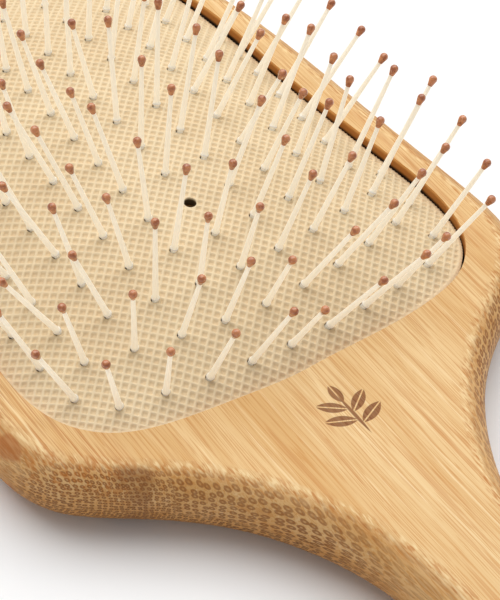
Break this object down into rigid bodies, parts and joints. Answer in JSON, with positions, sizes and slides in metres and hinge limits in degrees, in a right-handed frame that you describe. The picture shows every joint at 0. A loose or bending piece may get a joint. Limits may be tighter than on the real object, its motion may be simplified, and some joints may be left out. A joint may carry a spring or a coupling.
{
  "type": "paddle hair brush",
  "caption": "Wide bamboo paddle hair brush with a domed air cushion and ball-tipped nylon pins that yield and spring back.",
  "frame": {"origin": "on the flat back of the head, under the centre of the cushion's pocket", "axes": "+Y from the handle towards the head's far end, +Z out of the cushion along the pins, +X across the head"},
  "size_m": [0.0928, 0.2562, 0.0379],
  "materials": {
    "bamboo": "smooth, thin clear oil, straight grain",
    "rubber": "matte, waffle texture",
    "nylon": "semi-gloss, slightly translucent",
    "tip": "glossy dipped balls"
  },
  "bodies": {
    "paddle": {"paddle_body": "bamboo"},
    "cushion": {"cushion_pad": "rubber"},
    "row_near_l5": {"pins_near_l5": "nylon", "tips_near_l5": "tip"},
    "row_near_l4": {"pins_near_l4": "nylon", "tips_near_l4": "tip"},
    "row_mid_l4": {"pins_mid_l4": "nylon", "tips_mid_l4": "tip"},
    "row_near_l3": {"pins_near_l3": "nylon", "tips_near_l3": "tip"},
    "row_mid_l3": {"pins_mid_l3": "nylon", "tips_mid_l3": "tip"},
    "row_far_l3": {"pins_far_l3": "nylon", "tips_far_l3": "tip"},
    "row_near_l2": {"pins_near_l2": "nylon", "tips_near_l2": "tip"},
    "row_mid_l2": {"pins_mid_l2": "nylon", "tips_mid_l2": "tip"},
    "row_far_l2": {"pins_far_l2": "nylon", "tips_far_l2": "tip"},
    "row_near_l1": {"pins_near_l1": "nylon", "tips_near_l1": "tip"},
    "row_mid_l1": {"pins_mid_l1": "nylon", "tips_mid_l1": "tip"},
    "row_far_l1": {"pins_far_l1": "nylon", "tips_far_l1": "tip"},
    "row_near_c0": {"pins_near_c0": "nylon", "tips_near_c0": "tip"},
    "row_mid_c0": {"pins_mid_c0": "nylon", "tips_mid_c0": "tip"},
    "row_far_c0": {"pins_far_c0": "nylon", "tips_far_c0": "tip"},
    "row_near_r1": {"pins_near_r1": "nylon", "tips_near_r1": "tip"},
    "row_mid_r1": {"pins_mid_r1": "nylon", "tips_mid_r1": "tip"},
    "row_far_r1": {"pins_far_r1": "nylon", "tips_far_r1": "tip"},
    "row_near_r2": {"pins_near_r2": "nylon", "tips_near_r2": "tip"},
    "row_mid_r2": {"pins_mid_r2": "nylon", "tips_mid_r2": "tip"},
    "row_far_r2": {"pins_far_r2": "nylon", "tips_far_r2": "tip"},
    "row_near_r3": {"pins_near_r3": "nylon", "tips_near_r3": "tip"},
    "row_mid_r3": {"pins_mid_r3": "nylon", "tips_mid_r3": "tip"},
    "row_far_r3": {"pins_far_r3": "nylon", "tips_far_r3": "tip"},
    "row_near_r4": {"pins_near_r4": "nylon", "tips_near_r4": "tip"},
    "row_mid_r4": {"pins_mid_r4": "nylon", "tips_mid_r4": "tip"},
    "row_near_r5": {"pins_near_r5": "nylon", "tips_near_r5": "tip"}
  },
  "joints": [
    {"name": "cushion_press", "type": "slide", "parent": "paddle", "child": "cushion", "axis": [0, 0, -1], "range_m": [0, 0.0028], "stiffness_N_per_m": 5000, "deforming": ["cushion_pad"]},
    {"name": "lean_near_l5", "type": "hinge", "parent": "cushion", "child": "row_near_l5", "pos_m": [-0.03314, -0.03017, 0.01168], "axis": [-0.0706, 0.9974, 0.0164], "range_deg": [-7, 7], "stiffness_Nm_per_rad": 0.045, "deforming": ["cushion_pad"]},
    {"name": "lean_near_l4", "type": "hinge", "parent": "cushion", "child": "row_near_l4", "pos_m": [-0.02817, -0.03417, 0.01271], "axis": [-0.0334, 0.9923, 0.1196], "range_deg": [-7, 7], "stiffness_Nm_per_rad": 0.045, "deforming": ["cushion_pad"]},
    {"name": "lean_mid_l4", "type": "hinge", "parent": "cushion", "child": "row_mid_l4", "pos_m": [-0.02965, -0.00024, 0.01286], "axis": [-0.0477, 0.9973, -0.0553], "range_deg": [-7, 7], "stiffness_Nm_per_rad": 0.105, "deforming": ["cushion_pad"]},
    {"name": "lean_near_l3", "type": "hinge", "parent": "cushion", "child": "row_near_l3", "pos_m": [-0.02114, -0.03603, 0.0137], "axis": [-0.0265, 0.9784, 0.2049], "range_deg": [-7, 7], "stiffness_Nm_per_rad": 0.045, "deforming": ["cushion_pad"]},
    {"name": "lean_mid_l3", "type": "hinge", "parent": "cushion", "child": "row_mid_l3", "pos_m": [-0.02213, -0.00529, 0.01588], "axis": [-0.0344, 0.9994, -0.0076], "range_deg": [-7, 7], "stiffness_Nm_per_rad": 0.09, "deforming": ["cushion_pad"]},
    {"name": "lean_far_l3", "type": "hinge", "parent": "cushion", "child": "row_far_l3", "pos_m": [-0.02298, 0.02671, 0.01414], "axis": [-0.0033, 0.9929, -0.1188], "range_deg": [-7, 7], "stiffness_Nm_per_rad": 0.06, "deforming": ["cushion_pad"]},
    {"name": "lean_near_l2", "type": "hinge", "parent": "cushion", "child": "row_near_l2", "pos_m": [-0.0141, -0.03735, 0.01418], "axis": [-0.0186, 0.9644, 0.2639], "range_deg": [-7, 7], "stiffness_Nm_per_rad": 0.045, "deforming": ["cushion_pad"]},
    {"name": "lean_mid_l2", "type": "hinge", "parent": "cushion", "child": "row_mid_l2", "pos_m": [-0.01477, -0.00668, 0.01761], "axis": [-0.023, 0.9996, 0.0181], "range_deg": [-7, 7], "stiffness_Nm_per_rad": 0.09, "deforming": ["cushion_pad"]},
    {"name": "lean_far_l2", "type": "hinge", "parent": "cushion", "child": "row_far_l2", "pos_m": [-0.01536, 0.02975, 0.01536], "axis": [-0.0032, 0.9838, -0.1794], "range_deg": [-7, 7], "stiffness_Nm_per_rad": 0.075, "deforming": ["cushion_pad"]},
    {"name": "lean_near_l1", "type": "hinge", "parent": "cushion", "child": "row_near_l1", "pos_m": [-0.00706, -0.03815, 0.01435], "axis": [-0.0097, 0.9549, 0.2968], "range_deg": [-7, 7], "stiffness_Nm_per_rad": 0.045, "deforming": ["cushion_pad"]},
    {"name": "lean_mid_l1", "type": "hinge", "parent": "cushion", "child": "row_mid_l1", "pos_m": [-0.0074, -0.00751, 0.01846], "axis": [-0.0117, 0.9995, 0.0303], "range_deg": [-7, 7], "stiffness_Nm_per_rad": 0.09, "deforming": ["cushion_pad"]},
    {"name": "lean_far_l1", "type": "hinge", "parent": "cushion", "child": "row_far_l1", "pos_m": [-0.0077, 0.02972, 0.01614], "axis": [-0.0013, 0.9797, -0.2006], "range_deg": [-7, 7], "stiffness_Nm_per_rad": 0.075, "deforming": ["cushion_pad"]},
    {"name": "lean_near_c0", "type": "hinge", "parent": "cushion", "child": "row_near_c0", "pos_m": [0, -0.03842, 0.01438], "axis": [0, 0.9519, 0.3064], "range_deg": [-7, 7], "stiffness_Nm_per_rad": 0.045, "deforming": ["cushion_pad"]},
    {"name": "lean_mid_c0", "type": "hinge", "parent": "cushion", "child": "row_mid_c0", "pos_m": [0, -0.00573, 0.01871], "axis": [0, 0.9994, 0.0354], "range_deg": [-7, 7], "stiffness_Nm_per_rad": 0.075, "deforming": ["cushion_pad"]},
    {"name": "lean_far_c0", "type": "hinge", "parent": "cushion", "child": "row_far_c0", "pos_m": [0, 0.02972, 0.01631], "axis": [0, 0.9786, -0.2058], "range_deg": [-7, 7], "stiffness_Nm_per_rad": 0.075, "deforming": ["cushion_pad"]},
    {"name": "lean_near_r1", "type": "hinge", "parent": "cushion", "child": "row_near_r1", "pos_m": [0.00706, -0.03815, 0.01435], "axis": [0.0097, 0.9549, 0.2968], "range_deg": [-7, 7], "stiffness_Nm_per_rad": 0.045, "deforming": ["cushion_pad"]},
    {"name": "lean_mid_r1", "type": "hinge", "parent": "cushion", "child": "row_mid_r1", "pos_m": [0.0074, -0.00751, 0.01846], "axis": [0.0117, 0.9995, 0.0303], "range_deg": [-7, 7], "stiffness_Nm_per_rad": 0.09, "deforming": ["cushion_pad"]},
    {"name": "lean_far_r1", "type": "hinge", "parent": "cushion", "child": "row_far_r1", "pos_m": [0.0077, 0.02972, 0.01614], "axis": [0.0013, 0.9797, -0.2006], "range_deg": [-7, 7], "stiffness_Nm_per_rad": 0.075, "deforming": ["cushion_pad"]},
    {"name": "lean_near_r2", "type": "hinge", "parent": "cushion", "child": "row_near_r2", "pos_m": [0.0141, -0.03735, 0.01418], "axis": [0.0186, 0.9644, 0.2639], "range_deg": [-7, 7], "stiffness_Nm_per_rad": 0.045, "deforming": ["cushion_pad"]},
    {"name": "lean_mid_r2", "type": "hinge", "parent": "cushion", "child": "row_mid_r2", "pos_m": [0.01477, -0.00668, 0.01761], "axis": [0.023, 0.9996, 0.0181], "range_deg": [-7, 7], "stiffness_Nm_per_rad": 0.09, "deforming": ["cushion_pad"]},
    {"name": "lean_far_r2", "type": "hinge", "parent": "cushion", "child": "row_far_r2", "pos_m": [0.01536, 0.02975, 0.01536], "axis": [0.0032, 0.9838, -0.1794], "range_deg": [-7, 7], "stiffness_Nm_per_rad": 0.075, "deforming": ["cushion_pad"]},
    {"name": "lean_near_r3", "type": "hinge", "parent": "cushion", "child": "row_near_r3", "pos_m": [0.02114, -0.03603, 0.0137], "axis": [0.0265, 0.9784, 0.2049], "range_deg": [-7, 7], "stiffness_Nm_per_rad": 0.045, "deforming": ["cushion_pad"]},
    {"name": "lean_mid_r3", "type": "hinge", "parent": "cushion", "child": "row_mid_r3", "pos_m": [0.02213, -0.00529, 0.01588], "axis": [0.0344, 0.9994, -0.0076], "range_deg": [-7, 7], "stiffness_Nm_per_rad": 0.09, "deforming": ["cushion_pad"]},
    {"name": "lean_far_r3", "type": "hinge", "parent": "cushion", "child": "row_far_r3", "pos_m": [0.02298, 0.02671, 0.01414], "axis": [0.0033, 0.9929, -0.1188], "range_deg": [-7, 7], "stiffness_Nm_per_rad": 0.06, "deforming": ["cushion_pad"]},
    {"name": "lean_near_r4", "type": "hinge", "parent": "cushion", "child": "row_near_r4", "pos_m": [0.02817, -0.03417, 0.01271], "axis": [0.0334, 0.9923, 0.1196], "range_deg": [-7, 7], "stiffness_Nm_per_rad": 0.045, "deforming": ["cushion_pad"]},
    {"name": "lean_mid_r4", "type": "hinge", "parent": "cushion", "child": "row_mid_r4", "pos_m": [0.02965, -0.00024, 0.01286], "axis": [0.0477, 0.9973, -0.0553], "range_deg": [-7, 7], "stiffness_Nm_per_rad": 0.105, "deforming": ["cushion_pad"]},
    {"name": "lean_near_r5", "type": "hinge", "parent": "cushion", "child": "row_near_r5", "pos_m": [0.03314, -0.03017, 0.01168], "axis": [0.0706, 0.9974, 0.0164], "range_deg": [-7, 7], "stiffness_Nm_per_rad": 0.045, "deforming": ["cushion_pad"]}
  ]
}
